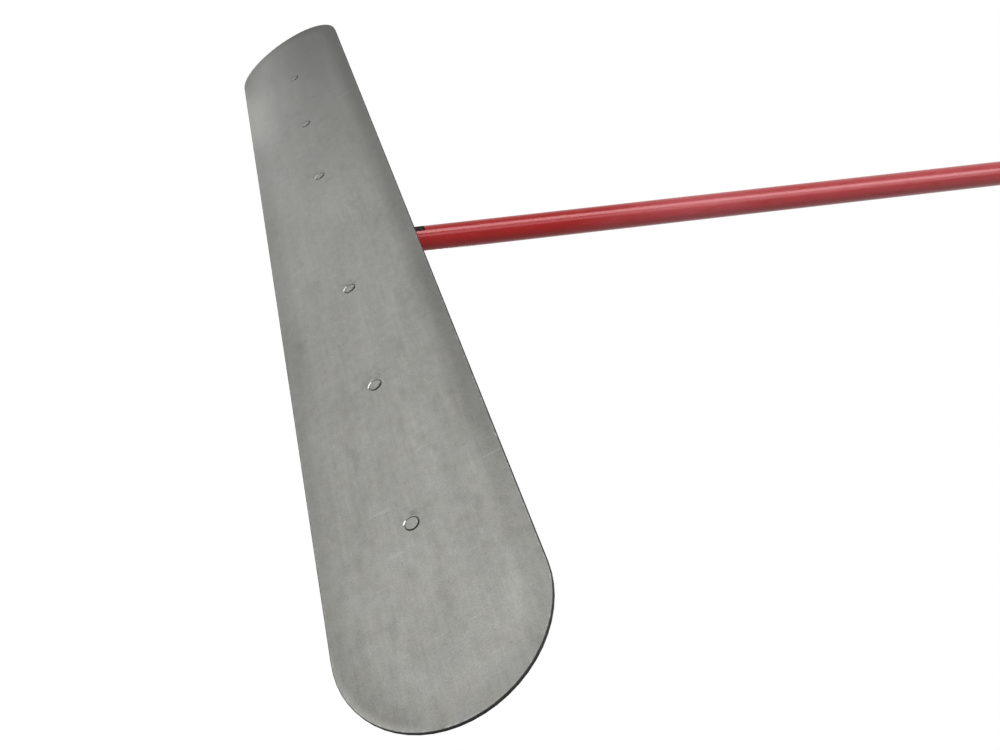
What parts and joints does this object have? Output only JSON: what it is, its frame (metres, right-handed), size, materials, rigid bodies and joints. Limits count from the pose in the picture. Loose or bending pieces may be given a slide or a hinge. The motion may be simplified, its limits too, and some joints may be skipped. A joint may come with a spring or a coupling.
{
  "type": "bull float",
  "caption": "Long round-ended bull float with a riveted backbone channel and a red tube handle that tilts on a pivot clamped by a wing nut.",
  "frame": {"origin": "middle of the blade's flat working face", "axes": "+Z from the working face to the handle's side, +Y along the blade, +X the way the handle leans at rest"},
  "size_m": [1.7764, 1.5238, 0.9206],
  "materials": {
    "blade": "matt grey, faint lengthwise streaks",
    "backbone": "mill finish, satin",
    "rivets": "satin, dull in the heads",
    "zinc": "bright zinc plating",
    "bracket": "black paint, satin",
    "adapter": "black paint, satin",
    "bush": "turned bronze",
    "friction_disc": "pressed fibre, matt",
    "handle": "glossy red paint",
    "ferrule": "black moulded plastic"
  },
  "bodies": {
    "float": {"blade": "blade", "backbone_channel": "backbone", "blade_rivets": "rivets", "rivet_washers": "zinc", "pivot_bracket": "bracket", "bracket_screws": "zinc", "bracket_washers": "zinc", "bracket_nuts": "zinc", "pivot_bolt": "zinc", "friction_disc_near": "friction_disc", "friction_disc_far": "friction_disc", "pivot_washer": "zinc", "spring_washer": "zinc"},
    "wing_nut": {"wing_nut": "zinc"},
    "handle": {"pivot_bush": "bush", "handle_adapter": "adapter", "handle_tube": "handle", "cross_bolts": "zinc", "cross_washers": "zinc", "cross_nuts": "zinc", "handle_ferrule": "ferrule"}
  },
  "joints": [
    {"name": "handle_tilt", "type": "hinge", "parent": "float", "child": "handle", "pos_m": [0, 0, 0.037], "axis": [0, -1, 0], "range_deg": [-28, 153]},
    {"name": "wing_nut_turn", "type": "hinge", "parent": "float", "child": "wing_nut", "pos_m": [0, 0.0197, 0.037], "axis": [0, 1, 0], "continuous": true}
  ]
}
